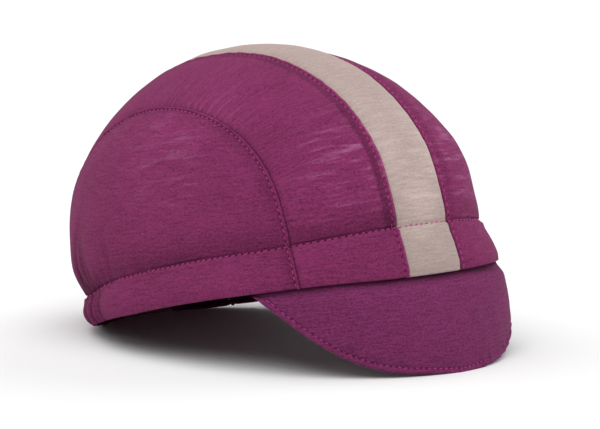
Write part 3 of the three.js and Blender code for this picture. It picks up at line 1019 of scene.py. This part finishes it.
@dataclass
class PanelMaker:
    """The five panels of the crown, each of which runs over the band to the hem."""

    tailoring: Tailoring
    gap: float = 0.04
    hem_share: float = 0.966
    corner_share: float = 8 / 46
    band_down: Spacing = Spacing(22.0, 0.3, 0.85, 2.6)
    strip_across: Spacing = Spacing(36, 0.3, 0.95, 3.4)
    strip_along: Spacing = Spacing(300.0, 0.3, 1.15, 4.0)
    side_across: Spacing = Spacing(190, 0.4, 0.75, 4.0)
    side_up: Spacing = Spacing(85, 0.3, 1.0, 4.5)
    bow: float = 0.008
    bow_rise: float = 35.0
    lean: float = -0.1

    @property
    def form(self) -> CapForm:
        """The cap's form."""
        return self.tailoring.form

    def band_shares(self) -> Array:
        """Shares of the band's height, from the stitches to where the hem turns in."""
        return self.band_down.places()[1:] * self.hem_share

    def strip(self, edges: tuple[tuple[float, float], tuple[float, float]], stripe: Side | None,
              side: Side | None) -> Sheet:
        """A strip from the front hem over the top to the back hem, between two upright planes.

        Args:
            edges: Offset and taper of the two planes, an offset being positive on the wearer's right.
            stripe: Side of the stripe that it meets, or None for the stripe itself.
            side: Side of the side seam that it meets, or None.

        Returns:
            The sheet.
        """
        form = self.form
        t = self.strip_across.places()
        offset, taper = (lerp(edges[0][part], edges[1][part], t)[None, :] for part in range(2))
        rows = 2 * self.strip_along.places() - 1
        across, along = form.plane_cut(rows[:, None], offset, taper)
        points, normals = form.crown_skin(across, along)
        theta = np.arctan2(across, -along)
        shares = self.band_shares()
        front, back = self.band_rows(theta[0], shares), self.band_rows(theta[-1], shares)
        points, normals, theta = (
            np.concatenate([before[::-1], crown, after])
            for before, crown, after in zip(front, (points, normals, theta), back)
        )
        at_back = (np.arange(len(points)) > len(points) // 2)[:, None]
        theta = np.where((stripe is None) & ~at_back, theta, theta % (2 * math.pi))
        on_crown = np.ones(len(points), bool)
        on_crown[:len(shares)] = on_crown[-len(shares):] = False
        middle = points[:, points.shape[1] // 2]
        steps = np.linalg.norm(np.diff(middle, axis=0), axis=1)
        run = np.concatenate([[0], np.cumsum(steps)])[:, None]
        rise = np.minimum(run, run[-1] - run) - self.band_down.length
        bow = self.bow * smoothstep(rise, 0, self.bow_rise)
        bow = bow * 0 if stripe is None else bow * (np.abs(points[..., 0]) - form.stripe_half) ** 2
        grain = np.stack(np.broadcast_arrays(points[..., 0], run - bow, 0.0), axis=-1)
        return self.tailoring.sheet(points, normals, theta, on_crown, grain, stripe, side, (True, True))

    def band_rows(self, theta: Array, shares: Array) -> tuple[Array, Array, Array]:
        """Rows of the band under one row of the rim: points, normals and angles."""
        theta, shares = np.broadcast_arrays(theta[None, :], shares[:, None])
        return *self.form.band_skin(theta, shares), theta

    def side_panel(self, side: Side) -> Sheet:
        """A side panel: a D over the ear, stretched as a net between its seam and the stitches.

        Args:
            side: Which side it is on.

        Returns:
            The sheet.
        """
        form = self.form
        edge = side.value * (form.seam_offset + self.gap / 2)
        u, v, corner = self.side_across.places(), self.side_up.places(), self.corner_share
        top, left, right = (
            np.stack(form.plane_cut(rows, edge, form.seam_taper), axis=-1)
            for rows in (-1 + 2 * corner + (2 - 4 * corner) * u, -1 + 2 * corner * v, 1 - 2 * corner * v)
        )
        ends = [np.arctan2(place[0, 0], -place[0, 1]) for place in (left, right)]
        rim = lerp(ends[0], ends[1], u)
        bottom = np.stack([np.sin(rim), -np.cos(rim)], axis=-1)
        a, b = u[None, :, None], v[:, None, None]
        net = lerp(bottom[None], top[None], b) + lerp(left[:, None], right[:, None], a)
        net -= lerp(lerp(bottom[0], bottom[-1], a), lerp(top[0], top[-1], a), b)
        net = net[::-1]
        net[-1] = bottom
        across, along = net[..., 0], net[..., 1]
        crown = (*form.crown_skin(across, along), np.arctan2(across, -along))
        points, normals, theta = map(np.concatenate, zip(crown, self.band_rows(rim, self.band_shares())))
        theta = theta % (2 * math.pi)
        on_crown = np.arange(len(points)) < len(v)
        course = points[..., 2] + self.lean * points[..., 1]
        grain = np.stack(np.broadcast_arrays(points[..., 1], course, 0.0), axis=-1)
        return self.tailoring.sheet(points, normals, theta, on_crown, grain, None, side, (False, True))

    def build(self, purple: bpy.types.Material, pale: bpy.types.Material) -> None:
        """Makes and dresses the five panels.

        Args:
            purple: Finish of the side and centre panels.
            pale: Finish of the stripe.
        """
        form = self.form
        inner = form.stripe_half + self.gap / 2
        outer = form.seam_offset - self.gap / 2
        for side in Side:
            name = "side_panel_" + side.name.lower()
            seat(self.side_panel(side).build("cloth_" + name, form), purple, Slot.PURPLE, name)
            name = "centre_panel_" + side.name.lower()
            edges = ((side.value * inner, 0.0), (side.value * outer, form.seam_taper))
            panel = self.strip(edges, side, side)
            seat(panel.build("cloth_" + name, form), purple, Slot.PURPLE, name)
        half = form.stripe_half - self.gap / 2
        stripe = self.strip(((-half, 0.0), (half, 0.0)), None, None)
        seat(stripe.build("cloth_centre_stripe", form), pale, Slot.PALE, "centre_stripe")


@dataclass(frozen=True)
class Sweatband:
    """Dark ring behind the band, raised at the front to clear the peak."""

    form: CapForm
    top: float = 0.1
    over_peak: float = 0.86
    behind: float = 0.95
    peak_corner: float = 60.0
    down: float = 84.0
    clearance: float = 2.3
    room: float = 1.4
    room_from: float = 100.0
    room_full: float = 125.0
    wall: float = 1.1
    short: float = 0.02
    rib_height: float = 0.12
    ribs: int = 6
    knit_height: float = 20.0
    columns: int = 420
    rows: int = 26

    def build(self, finish: bpy.types.Material) -> None:
        """Makes and dresses the sweatband.

        Args:
            finish: Its material.
        """
        form = self.form
        theta = np.linspace(0, 2 * math.pi, self.columns, endpoint=False)[None, :]
        angle = form.from_front(theta)
        behind_peak = 1 - smoothstep(angle, self.peak_corner, self.down)
        lower = lerp(self.behind, self.over_peak, behind_peak) - self.short
        share = lerp(self.top, lower, np.linspace(0, 1, self.rows)[:, None])
        theta = np.broadcast_to(theta, share.shape)

        def smooth(a: Array, b: Array) -> Array:
            """The band without its gathers."""
            return form.band(a, b, False)

        normals = form.normals(smooth, theta, share)
        depth = self.clearance + self.room * smoothstep(angle, self.room_from, self.room_full)
        ribs = self.rib_height * np.sin(np.linspace(0, 1, self.rows) * 2 * math.pi * self.ribs)[:, None]
        outer = smooth(theta, share) - normals * (depth + ribs)[..., None]
        inner = outer - normals * self.wall
        grain = np.stack(np.broadcast_arrays(theta * form.back, share * self.knit_height, 0.0), axis=-1)
        far = np.full(grain.shape, FAR_OFF)
        facts = {"grain": grain, "edging": far, "seaming": far, "hemming": far, "wear": 0 * grain}
        sheet = Sheet(outer, inner, facts, (True, True), ring=True)
        seat(sheet.build("cloth_sweatband", form), finish, Slot.DARK, "sweatband")


@dataclass
class Peak:
    """The short turned-down peak: an upper and an under cover, topstitched along their edge."""

    EDGE_POINTS = 801
    JUST_INSIDE = 0.95
    TUCKED_ROWS = 3
    SOFTENINGS = 6

    form: CapForm
    corner: float = 60.0
    length: float = 45.2
    slope: float = 84.0
    plan_power: float = 1.41
    height_power: float = 1.63
    drop: float = 12.9
    forwards: float = 2.8
    upwards: float = 0.9
    tuck: float = 0.6
    set_back: float = 2.0
    set_back_run: float = 8.0
    rise: float = 2.2
    rise_between: tuple[float, float] = (0.78, 0.95)
    round_edge: float = 0.85
    most_rounded: float = 0.5
    across: Spacing = Spacing(190, 0.5, 0.95, 6.0)
    down: Spacing = Spacing(45, 0.28, 0.95, 4.0, False)
    turn_limit: float = 0.975
    turn_steady: float = 0.85
    wall: float = 1.7
    gap: float = 0.12
    under_length: float = 0.985
    stitch_inset: float = 2.6
    pitch: float = 2.9
    thread_sunk: float = 0.6
    sewn_span: tuple[float, float] = (0.03, 0.97)
    relief: tuple[Hump, ...] = (Hump(0.25, 1.2, 0.8), Hump(-0.45, 2.6, 0.5), Hump(-0.3, 2.6, 2.6))
    pucker: Waves = Waves(0.16, 6.0, 14)
    pucker_width: float = 3.5
    unevenness: tuple[Waves, Waves] = (Waves(0.25, 40, 31), Waves(0.10, 14, 32))
    # Reaches of the painted shadow under the band's hem, down the peak.
    hem_shade: float = 1.1
    hem_shade_run: float = 5.0

    def __post_init__(self) -> None:
        """Lays out the edge."""
        turn = np.linspace(-self.turn_limit, self.turn_limit, self.EDGE_POINTS)
        share = np.ones_like(turn)
        points = self.surface(turn, share)
        inwards = self.surface(turn, self.JUST_INSIDE * share) - points
        normals = self.level_normals(turn, share)
        self.edge = ClothLine(points, normals, inwards, self.stitch_inset, self.pitch)

    def surface(self, turn: Array, share: Array) -> Array:
        """Points of the peak's upper face.

        Args:
            turn: From -1 to 1 between its corners.
            share: From zero at the hem to one at the edge.

        Returns:
            Points with a last axis of three.
        """
        form = self.form
        turn, share = np.broadcast_arrays(turn, share)
        sweep = turn * math.pi / 2
        corner = form.band(np.array([math.radians(self.corner)]), np.ones(1))[0]
        tip = form.band(np.zeros(1), np.ones(1))[0]
        slope = math.radians(self.slope)
        tip = tip + self.length * np.array([0, -math.cos(slope), -math.sin(slope)])
        inner = form.band(math.radians(self.corner) * np.sin(sweep), np.ones(turn.shape))
        inner = inner + np.array([0, self.tuck, 0])
        out = np.abs(np.cos(sweep))
        outer = np.stack([
            corner[0] * np.sin(sweep),
            lerp(corner[1], tip[1], out**self.plan_power),
            lerp(corner[2], tip[2], 1 - np.abs(np.sin(sweep)) ** self.height_power)
            - self.drop * np.sin(2 * sweep) ** 2,
        ], axis=-1)
        swelling = np.sin(math.pi * np.clip(share, 0, 1)) * out
        bulge = swelling[..., None] * np.array([0, -self.forwards, self.upwards])
        return lerp(inner, outer, share[..., None]) + bulge

    def level_normals(self, turn: Array, share: Array) -> Array:
        """Level unit normals of the upper face, away from the head.

        Args:
            turn: From -1 to 1 between its corners, which take their neighbours' normals.
            share: From zero at the hem to one at the edge.

        Returns:
            Unit normals with a last axis of three.
        """
        turn = np.clip(turn, -self.turn_steady, self.turn_steady)
        normals = self.form.normals(self.surface, turn, share)
        normals[..., 2] = 0
        return unit(normals)

    def soft(self, points: Array) -> Array:
        """Slow unevenness of the upper cover."""
        return sum(waves(points) for waves in self.unevenness)

    def cover(self, depth: float, reach: float, relief: bool) -> Sheet:
        """One cover of the peak.

        Args:
            depth: How far it lies under the upper face.
            reach: Its length over that of the upper face.
            relief: Whether the topstitching draws it in.

        Returns:
            The sheet.
        """
        turn = (2 * self.across.places() - 1)[None, :] * self.turn_limit
        ends = self.surface(turn, np.zeros_like(turn)), self.surface(turn, np.ones_like(turn))
        length = np.linalg.norm(ends[1] - ends[0], axis=-1)
        limit = reach - np.minimum(self.round_edge / length, self.most_rounded)
        shown = self.down.places()[:, None] * limit
        hidden = np.linspace(-self.rise, 0, self.TUCKED_ROWS + 1)[:-1, None]
        share = np.concatenate([0 * hidden * turn, shown])
        lift = np.concatenate([-hidden * (1 - smoothstep(np.abs(turn), *self.rise_between)), 0 * shown])
        turn = np.broadcast_to(turn, share.shape)
        base, normals = self.surface(turn, share), self.level_normals(turn, share)
        down = share * length
        back = self.set_back * (1 - smoothstep(down, 0, self.set_back_run)) + depth
        base = base - normals * back[..., None] + lift[..., None] * np.array([0, 0, 1.0])
        aside, arc = self.edge.locate(base + normals * depth)
        points, far = base, np.full(base.shape, FAR_OFF)
        if relief:
            raised = sum(hump(aside) for hump in self.relief) + self.soft(base)
            raised += self.pucker(arc[..., None]) * bell((aside - self.stitch_inset) / self.pucker_width)
            points = base + normals * raised[..., None]
        # Painted shadow under the band's hem, carried in both darkening channels.
        shade = 1 - smoothstep(down, 0, self.hem_shade_run)
        facts = {
            "grain": np.stack(np.broadcast_arrays(points[..., 0], down, 0.0), axis=-1),
            "edging": far,
            "seaming": far,
            "hemming": self.edge.facts(aside, arc) if relief else far,
            "wear": np.stack([bell(down / self.hem_shade), shade, 0 * down], axis=-1),
        }
        inner = base - softened(normals, self.SOFTENINGS) * self.wall
        return Sheet(points, inner, facts, (False, True))

    def build(self, finish: bpy.types.Material) -> None:
        """Makes and dresses the two covers.

        Args:
            finish: Their material.
        """
        top = self.cover(0.0, 1.0, True)
        seat(top.build("cloth_peak_top", self.form), finish, Slot.PURPLE, "peak_top")
        under = self.cover(self.wall + self.gap, self.under_length, False)
        seat(under.build("cloth_peak_under", self.form), finish, Slot.PURPLE, "peak_under")


class Cut(NamedTuple):
    """Length of a row's stitches over their pitch, and how far aside their ends lie in millimetres."""

    share: float
    slant: float


@dataclass(frozen=True)
class Stitching:
    """Thread of the rows: a short capsule for each stitch, whose ends dive into the cloth."""

    form: CapForm
    radius: float = 0.27
    flatness: float = 0.8
    thinner: float = 0.45
    thinner_power: float = 3.0
    proud: float = 0.26
    dive: float = 0.55
    dive_power: float = 2.6
    uneven_length: tuple[float, float] = (0.85, 1.08)
    uneven_aside: float = 0.08
    sharp: float = 80.0
    rings: int = 9
    sides: int = 7
    seed: int = 3

    def build(self, name: str, line: ClothLine, height: Array, cut: Cut, finish: bpy.types.Material,
              span: tuple[float, float] = (0.0, 1.0)) -> None:
        """Makes the stitches beside a line.

        Args:
            name: Name of the piece.
            line: The line that the row follows.
            height: Height of the cloth over each of the line's points.
            cut: Length and slant of its stitches.
            finish: Material of the thread.
            span: Shares of the line's length between which the row runs.
        """
        draw = np.random.default_rng(self.seed)
        first, last = (line.length / line.pitch * end for end in span)
        middle = (np.arange(math.ceil(first), int(last)) + 0.5)[:, None] * line.pitch
        share = np.linspace(-1, 1, self.rings)[None, :]
        half = cut.share * line.pitch / 2 * draw.uniform(*self.uneven_length, (len(middle), 1))
        arc = middle + share * half
        aside = line.stitch_at + draw.normal(0, self.uneven_aside, (len(middle), 1)) + cut.slant * share
        dive = self.dive * np.abs(share) ** self.dive_power
        lift = self.proud - dive + np.interp(arc, line.lengths, height)
        normal, across, along = (line.at(arc, what) for what in (line.normals, line.aside, line.along))
        spine = line.at(arc, line.points) + across * aside[..., None] + normal * lift[..., None]
        turn = np.linspace(0, 2 * math.pi, self.sides, endpoint=False)
        thick = self.radius * (1 - self.thinner * np.abs(share) ** self.thinner_power)
        up = self.flatness * normal[:, :, None] * np.sin(turn)[:, None]
        ring = across[:, :, None] * np.cos(turn)[:, None] + up
        points = spine[:, :, None] + ring * np.broadcast_to(thick, arc.shape)[..., None, None]
        index = np.arange(points[..., 0].size).reshape(points.shape[:3])
        near, beside = index[:, :-1], np.roll(index[:, :-1], -1, axis=2)
        far, far_beside = index[:, 1:], np.roll(index[:, 1:], -1, axis=2)
        walls = np.stack([near, far, far_beside, beside], axis=-1).reshape(-1, 4)
        faces = [tuple(face) for part in (walls, index[:, 0], index[:, -1, ::-1]) for face in part.tolist()]
        piece = mesh_object(name, self.form.settle(points.reshape(-1, 3)), faces, {}, self.sharp)
        seat(piece, finish, Slot.PURPLE)


def linear(*shade: float) -> tuple[float, float, float, float]:
    """Linear colour of a shade given as red, green and blue from 0 to 255."""
    parts = [part / 255 for part in shade]
    return (*(p / 12.92 if p <= 0.04045 else ((p + 0.055) / 1.055) ** 2.4 for p in parts), 1.0)


class Board:
    """Node tree with one method that adds its nodes."""

    def __init__(self, tree: bpy.types.NodeTree) -> None:
        """Empties the tree."""
        self.tree = tree
        tree.nodes.clear()

    def add(self, kind: str, settings: Mapping[str, Any] | None = None,
            values: Mapping[str | int, Any] | None = None) -> bpy.types.Node:
        """Adds a node.

        Args:
            kind: Type of the node.
            settings: Its properties, which are set first.
            values: A value or a link for each socket, by identifier, name or number.

        Returns:
            The new node.
        """
        node = self.tree.nodes.new(kind)
        for key, value in (settings or {}).items():
            setattr(node, key, value)
        for key, value in (values or {}).items():
            socket = self.socket(node, key)
            source = value.socket if isinstance(value, Tone) else value
            if isinstance(source, bpy.types.NodeSocket):
                self.tree.links.new(source, socket)
            else:
                socket.default_value = source
        return node

    @staticmethod
    def socket(node: bpy.types.Node, key: str | int) -> bpy.types.NodeSocket:
        """Finds an input of a node.

        Args:
            node: The node.
            key: Number, identifier or name of the input.

        Returns:
            The socket.
        """
        if isinstance(key, int):
            return node.inputs[key]
        return next((s for s in node.inputs if s.identifier == key), None) or node.inputs[key]

    def shade(self, values: Mapping[str, Any]) -> None:
        """Adds the shader with its values or links, and the output that it feeds."""
        shader = self.add("ShaderNodeBsdfPrincipled", {}, values)
        self.add("ShaderNodeOutputMaterial", {}, {"Surface": shader.outputs[0]})

    def split(self, name: str) -> list[Tone]:
        """Takes one of the cloth's vectors apart.

        Args:
            name: Name of the vector.

        Returns:
            Its three numbers.
        """
        vector = self.add("ShaderNodeAttribute", {"attribute_name": name}).outputs["Vector"]
        parts = self.add("ShaderNodeSeparateXYZ", {}, {0: vector})
        return [self.tone(parts, number) for number in range(3)]

    def tone(self, node: bpy.types.Node, output: str | int = 0) -> Tone:
        """Wraps an output of a node, so that it can be reckoned with."""
        return Tone(self, node.outputs[output])


class Tone:
    """A value in a node tree: sums and products with it add Math nodes."""

    def __init__(self, board: Board, socket: bpy.types.NodeSocket) -> None:
        """Wraps a socket of a board."""
        self.board, self.socket = board, socket

    def maths(self, operation: str, *values: Tone | float, clamp: bool = False) -> Tone:
        """Result of a Math node, which is kept between zero and one if that is asked for."""
        settings = {"operation": operation, "use_clamp": clamp}
        return self.board.tone(self.board.add("ShaderNodeMath", settings, dict(enumerate(values))))

    def __add__(self, other: Tone | float) -> Tone:
        """Sum."""
        return self.maths("ADD", self, other)

    def __radd__(self, other: float) -> Tone:
        """Sum, reflected."""
        return self.maths("ADD", other, self)

    def __sub__(self, other: Tone | float) -> Tone:
        """Difference."""
        return self.maths("SUBTRACT", self, other)

    def __rsub__(self, other: float) -> Tone:
        """Difference, reflected."""
        return self.maths("SUBTRACT", other, self)

    def __mul__(self, other: Tone | float) -> Tone:
        """Product."""
        return self.maths("MULTIPLY", self, other)

    def __rmul__(self, other: float) -> Tone:
        """Product, reflected."""
        return self.maths("MULTIPLY", other, self)

    def __truediv__(self, other: Tone | float) -> Tone:
        """Quotient."""
        return self.maths("DIVIDE", self, other)

    def __pow__(self, other: float) -> Tone:
        """Power."""
        return self.maths("POWER", self, other)

    def __abs__(self) -> Tone:
        """Size without sign."""
        return self.maths("ABSOLUTE", self)

    def fraction(self) -> Tone:
        """Part after the point."""
        return self.maths("FRACT", self)

    def clamped(self) -> Tone:
        """The value kept between zero and one."""
        return self.maths("ADD", self, 0.0, clamp=True)


def new_material(name: str) -> tuple[bpy.types.Material, Board]:
    """Makes a material.

    Args:
        name: Its name.

    Returns:
        The material and the board of its nodes.
    """
    material = bpy.data.materials.new(name)
    material.use_nodes = True
    return material, Board(material.node_tree)


class Grain(NamedTuple):
    """Noise along the knit: its scales for each millimetre, its place, and its octaves and their weight."""

    across: float
    along: float
    shift: float
    detail: float = 2.0
    roughness: float = 0.55


class Marks(NamedTuple):
    """What a seam or a row of stitches does to the cloth beside it: painted shade in the needle's holes and
    the seam's crease, and a painted highlight on the ridge.
    """

    hole: Tone
    crease: Tone
    ridge: Tone


@dataclass(frozen=True)
class KnitFinish:
    """Fine heathered knit: its shades, slubs and fuzz, with painted shade in the needle's holes and the
    seams' creases and a painted highlight on their ridges.
    """

    HEATHER = Grain(0.5, 1.2, 3.0, roughness=0.6)
    SLUB = Grain(0.11, 0.95, 11.0, 3.0, 0.6)
    STREAK = Grain(0.045, 0.3, 37.0)
    CLOUD = Grain(0.03, 0.05, 23.0)
    FUZZ = Grain(1.15, 1.15, 51.0, roughness=0.7)
    STITCH_LENGTH = 3.0
    HOLE_REACH = 1.3
    HOLE_WIDTH = 0.55
    CREASE_AT = -0.16
    CREASE_WIDTH = 0.34
    RIDGE_AT = 0.85
    RIDGE_WIDTH = 0.65

    name: str
    base: tuple[float, float, float, float]
    worn: tuple[float, float, float, float]
    heather: float = 0.9
    slub: float = 0.9
    cloud: float = 0.3
    fuzz: float = 1.4
    bloom: float = 0.68
    stretched_and_lit: float = 0.2
    # hole, its shares and crease set painted shade in holes and creases; ridge sets a painted highlight on
    # ridges.
    hole: float = 0.6
    stripe_holes: float = 0.65
    side_holes: float = 0.45
    crease: float = 0.25
    ridge: float = 0.3
    doubling_and_hem_shade: float = 0.28
    shaded: float = 0.26
    streaked: float = 0.6
    bloom_share: float = 3.0
    bloom_slub: float = 0.3
    bloom_from: float = 0.05
    bumps: tuple[float, float, float, float] = (0.4, 0.25, 0.5, -1.4)
    seed: float = 0.0

    def noise(self, board: Board, grain: Grain) -> Tone:
        """Noise along the knit.

        Args:
            board: The node tree.
            grain: Its scales, place and octaves.

        Returns:
            Values about zero, mostly within a quarter.
        """
        knit = board.add("ShaderNodeAttribute", {"attribute_name": "grain"})
        place = board.add("ShaderNodeVectorMath", {"operation": "MULTIPLY_ADD"}, {
            0: knit.outputs["Vector"], 1: (grain.across, grain.along, 0.0),
            2: (grain.shift + self.seed, grain.shift, 0.0)})
        noise = board.add("ShaderNodeTexNoise", {"noise_dimensions": "3D"}, {
            "Vector": place.outputs[0], "Scale": 1.0, "Detail": grain.detail, "Roughness": grain.roughness})
        return board.tone(noise) - 0.5

    def marks(self, board: Board, name: str) -> Marks:
        """Masks along a line of stitches, for painted shade and painted highlight.

        Args:
            board: The node tree.
            name: The attribute that holds the distances from the line.

        Returns:
            The needle's holes and the crease of the seam, which take painted shade, and the ridge beside
            it, which takes a painted highlight.
        """
        aside, count, seam = board.split(name)
        between = abs((count + 0.5).fraction() - 0.5) * self.STITCH_LENGTH
        hole = self.HOLE_REACH - (aside / self.HOLE_WIDTH) ** 2 - (between / self.HOLE_WIDTH) ** 2
        crease = 1 - ((seam - self.CREASE_AT) / self.CREASE_WIDTH) ** 2
        ridge = 1 - ((seam - self.RIDGE_AT) / self.RIDGE_WIDTH) ** 2
        return Marks(hole.clamped(), crease.clamped(), ridge.clamped())

    def material(self) -> bpy.types.Material:
        """Builds the material.

        Returns:
            The new material.
        """
        material, board = new_material(self.name)
        grains = (self.HEATHER, self.SLUB, self.STREAK, self.CLOUD, self.FUZZ)
        heather, slub, streak, cloud, fuzz = (self.noise(board, grain) for grain in grains)
        doubling_and_hem_shade, shaded, stretch_and_light = board.split("wear")
        stripe, side, row = (self.marks(board, name) for name in ("edging", "seaming", "hemming"))
        # Painted shade in the holes and creases, and a painted highlight on the ridges.
        holes = (self.stripe_holes * stripe.hole + self.side_holes * side.hole + row.hole).clamped()
        creases = (stripe.crease + side.crease).clamped()
        ridges = (stripe.ridge + side.ridge).clamped()
        shade = 1 + self.heather * heather + self.slub * slub + self.cloud * cloud + self.fuzz * fuzz
        shade = shade * (1 - self.hole * holes) * (1 - self.crease * creases) * (1 + self.ridge * ridges)
        # Darker where the seam allowance doubles the cloth, and under painted shade, including the painted
        # shadow under the band's hem on the peak.
        shade = shade * (1 - self.doubling_and_hem_shade * doubling_and_hem_shade) * (1 - self.shaded * shaded)
        # Paler where the knit is drawn thin, which is partly painted highlight.
        shade = shade * (1 + self.stretched_and_lit * stretch_and_light + self.streaked * stretch_and_light * streak)
        bloom = ((streak + self.bloom_slub * slub) * self.bloom_share - self.bloom_from).clamped()
        mixed = board.add("ShaderNodeMix", {"data_type": "RGBA"}, {
            "Factor_Float": bloom * stretch_and_light * stretch_and_light * self.bloom, "A_Color": self.base,
            "B_Color": self.worn})
        colour = board.add("ShaderNodeVectorMath", {"operation": "SCALE"}, {
            0: mixed.outputs[2], "Scale": shade})
        parts = [depth * tone for depth, tone in zip(self.bumps, (heather, slub, fuzz, holes))]
        bump = board.add("ShaderNodeBump", {}, {
            "Strength": 0.5, "Distance": 0.00025, "Height": parts[0] + parts[1] + parts[2] + parts[3]})
        board.shade({
            "Base Color": colour.outputs[0], "Roughness": 0.94, "Specular IOR Level": 0.03,
            "Sheen Weight": 0.04, "Sheen Roughness": 0.5, "Sheen Tint": (1.0, 0.86, 0.94, 1.0),
            "Normal": bump.outputs[0]})
        return material


@dataclass(frozen=True)
class ThreadFinish:
    """Sewing thread: bright, with a slight gloss and a twist."""

    name: str
    base: tuple[float, float, float, float]
    twist: float = 900.0
    darkest: float = 0.72
    contrast: float = 0.56

    def material(self) -> bpy.types.Material:
        """Builds the material.

        Returns:
            The new material.
        """
        material, board = new_material(self.name)
        place = board.add("ShaderNodeTexCoord")
        noise = board.add("ShaderNodeTexNoise", {}, {
            "Vector": place.outputs["Object"], "Scale": self.twist, "Detail": 2.0})
        shade = self.darkest + self.contrast * board.tone(noise)
        colour = board.add("ShaderNodeVectorMath", {"operation": "SCALE"}, {
            0: self.base[:3], "Scale": shade})
        bump = board.add("ShaderNodeBump", {}, {
            "Strength": 0.4, "Distance": 0.0001, "Height": board.tone(noise)})
        board.shade({
            "Base Color": colour.outputs[0], "Roughness": 0.6, "Specular IOR Level": 0.2,
            "Sheen Weight": 0.05, "Normal": bump.outputs[0]})
        return material


class Lamp(NamedTuple):
    """Distant soft lamp, placed by degrees from the front, by the wearer's left, and above the floor.

    Its brightness is that of a white surface that faces it.
    """

    name: str
    azimuth: float
    elevation: float
    brightness: float


@dataclass(frozen=True)
class Studio:
    """Camera, lights and floor of the picture."""

    azimuth: float = -43.15
    elevation: float = 7.76
    distance: float = 1632.97
    to_right: float = 12.676
    upwards: float = 44.584
    focal: float = 214.4
    sensor: float = 36.0
    clip: tuple[float, float] = (0.05, 60.0)
    origin: tuple[float, float, float] = (0.0, 6.313, 11.3)
    floor_size: float = 60.0
    floor_colour: tuple[float, ...] = linear(232, 232, 232)
    lamps: tuple[Lamp, ...] = (
        Lamp("front_lamp", 330, 63, 0.66),
        Lamp("back_lamp", 210, 45, 0.45),
        Lamp("left_lamp", 90, 20, 0.55),
    )
    lamp_spread: float = 70.0
    sky: float = 0.25

    def camera(self) -> None:
        """Puts the camera at the photograph's angle."""
        a, e = math.radians(self.azimuth), math.radians(self.elevation)
        right = Vector((math.cos(a), math.sin(a), 0))
        back = Vector((math.sin(a) * math.cos(e), -math.cos(a) * math.cos(e), math.sin(e)))
        up = back.cross(right)
        data = bpy.data.cameras.new("camera")
        data.lens, data.sensor_width = self.focal, self.sensor
        data.clip_start, data.clip_end = self.clip
        camera = linked("camera", data)
        place = Vector(self.origin) + right * self.to_right + up * self.upwards + back * self.distance
        turn = Matrix((right, up, back)).transposed()
        camera.matrix_world = Matrix.Translation(place * METRE) @ turn.to_4x4()
        bpy.context.scene.camera = camera

    def light(self, lamp: Lamp) -> None:
        """Adds a lamp.

        Args:
            lamp: Its name, place and brightness.
        """
        data = bpy.data.lights.new(lamp.name, "SUN")
        data.energy, data.angle = lamp.brightness * math.pi, math.radians(self.lamp_spread)
        a, e = math.radians(lamp.azimuth), math.radians(lamp.elevation)
        towards = Vector((math.sin(a) * math.cos(e), -math.cos(a) * math.cos(e), math.sin(e)))
        linked(lamp.name, data).rotation_euler = towards.to_track_quat("Z", "Y").to_euler()

    def floor(self) -> None:
        """Lays a plain pale floor."""
        half = self.floor_size / 2
        corners = [(-half, -half, 0), (half, -half, 0), (half, half, 0), (-half, half, 0)]
        mesh = bpy.data.meshes.new("floor")
        mesh.from_pydata(corners, [], [(0, 1, 2, 3)])
        material, board = new_material("pale_floor")
        board.shade({"Base Color": self.floor_colour, "Roughness": 0.9, "Specular IOR Level": 0.1})
        mesh.materials.append(material)
        linked("floor", mesh)

    def build(self) -> None:
        """Sets up the camera, the floor, the lamps and the sky."""
        self.camera()
        self.floor()
        for lamp in self.lamps:
            self.light(lamp)
        world = bpy.data.worlds.new("studio")
        bpy.context.scene.world = world
        world.use_nodes = True
        board = Board(world.node_tree)
        sky = board.add("ShaderNodeBackground", {}, {"Color": (1, 1, 1, 1), "Strength": self.sky})
        board.add("ShaderNodeOutputWorld", {}, {"Surface": sky.outputs[0]})
        bpy.context.scene.view_settings.view_transform = "Standard"
        bpy.context.scene.view_settings.look = "None"


PURPLE = KnitFinish("purple_knit", linear(117, 44, 85), linear(160, 116, 146))
# The peak's finish darkens more under the hem, as painted shadow.
PEAK_PURPLE = KnitFinish(
    "purple_knit_peak", linear(111, 45, 86), linear(160, 100, 140), hole=0.36, doubling_and_hem_shade=0.5, seed=70.0)
PALE = KnitFinish(
    "pale_knit", linear(168, 150, 145), linear(190, 176, 170), heather=0.35, slub=0.5, cloud=0.12, fuzz=0.5,
    bloom=0.25, stretched_and_lit=0.33, hole=0.12, crease=0.4, ridge=0.0, shaded=0.06, seed=40.0)
LINING = KnitFinish("dark_rib", linear(38, 33, 38), linear(60, 54, 58), seed=90.0)
THREAD = ThreadFinish("magenta_thread", linear(170, 52, 124))
CUTS = {
    "stripe": Cut(0.62, 0.12), "side": Cut(0.7, 0.12), "row": Cut(0.78, -0.24), "peak": Cut(0.84, -0.04),
}


def main() -> None:
    """Builds the studio, then the cap piece by piece."""
    logging.basicConfig(level=logging.INFO, format="%(message)s")
    Studio().build()
    form = CapForm()
    purple, pale, lining = PURPLE.material(), PALE.material(), LINING.material()
    peak_purple, thread = PEAK_PURPLE.material(), THREAD.material()
    tailoring = Tailoring(form)
    PanelMaker(tailoring).build(purple, pale)
    Sweatband(form).build(lining)
    peak = Peak(form)
    peak.build(peak_purple)
    stitching = Stitching(form)
    for key, line in tailoring.lines.items():
        cut = CUTS[key.partition("_")[0]]
        stitching.build("stitches_" + key.lower(), line, tailoring.thread_height(line), cut, thread)
    height = peak.soft(peak.edge.points + peak.edge.aside * peak.stitch_inset) - peak.thread_sunk
    stitching.build("stitches_peak", peak.edge, height, CUTS["peak"], thread, peak.sewn_span)


if __name__ == "__main__":
    main()
